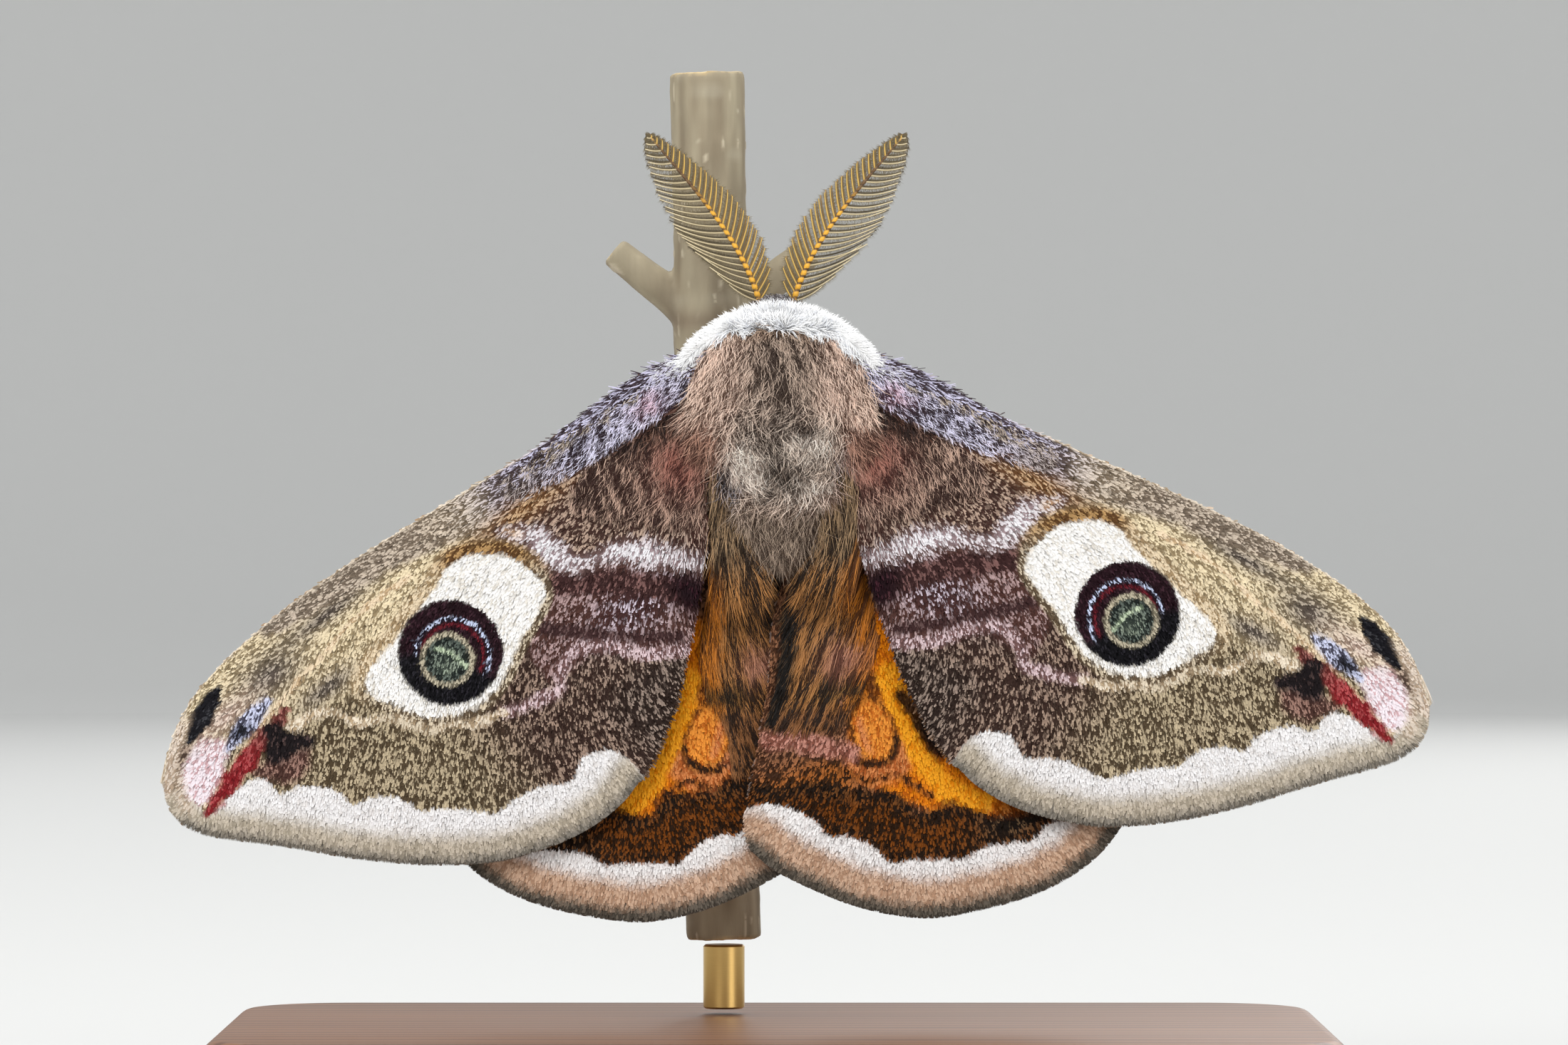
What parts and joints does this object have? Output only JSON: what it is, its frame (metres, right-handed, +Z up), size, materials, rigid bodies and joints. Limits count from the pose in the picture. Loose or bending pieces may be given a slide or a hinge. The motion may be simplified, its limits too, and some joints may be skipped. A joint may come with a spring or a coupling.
{
  "type": "southern emperor moth model",
  "caption": "Life-size still model of a male southern emperor moth with spread wings, on a cut stem above a plain stand.",
  "frame": {"origin": "middle of the underside of the stand's base", "axes": "+Z up, along the moth's body towards its head; +X towards the wing on the right seen from the back; the moth's back faces -Y"},
  "size_m": [0.0666, 0.038, 0.055],
  "materials": {
    "brown_fur": "dense brown and grey moth hair",
    "white_fur": "dense white moth hair",
    "eye": "glossy dark compound eye",
    "antenna": "tan horn with golden scales",
    "forewing": "overlapping brown, white and olive wing scales",
    "hindwing": "overlapping orange, brown and white wing scales",
    "leg": "short reddish-brown hair",
    "bark": "smooth grey-brown twig bark",
    "stand_wood": "satin oiled wood",
    "rod_metal": "plain satin brass"
  },
  "bodies": {
    "root": {"head": "brown_fur", "thorax": "brown_fur", "abdomen": "brown_fur", "collar": "white_fur", "eye_left": "eye", "eye_right": "eye", "antenna_left": "antenna", "antenna_right": "antenna", "forewing_left": "forewing", "forewing_right": "forewing", "hindwing_left": "hindwing", "hindwing_right": "hindwing", "leg_fore_left": "leg", "leg_fore_right": "leg", "leg_mid_left": "leg", "leg_mid_right": "leg", "leg_hind_left": "leg", "leg_hind_right": "leg", "perch": "bark", "stand_base": "stand_wood", "stand_rod": "rod_metal"}
  },
  "joints": []
}
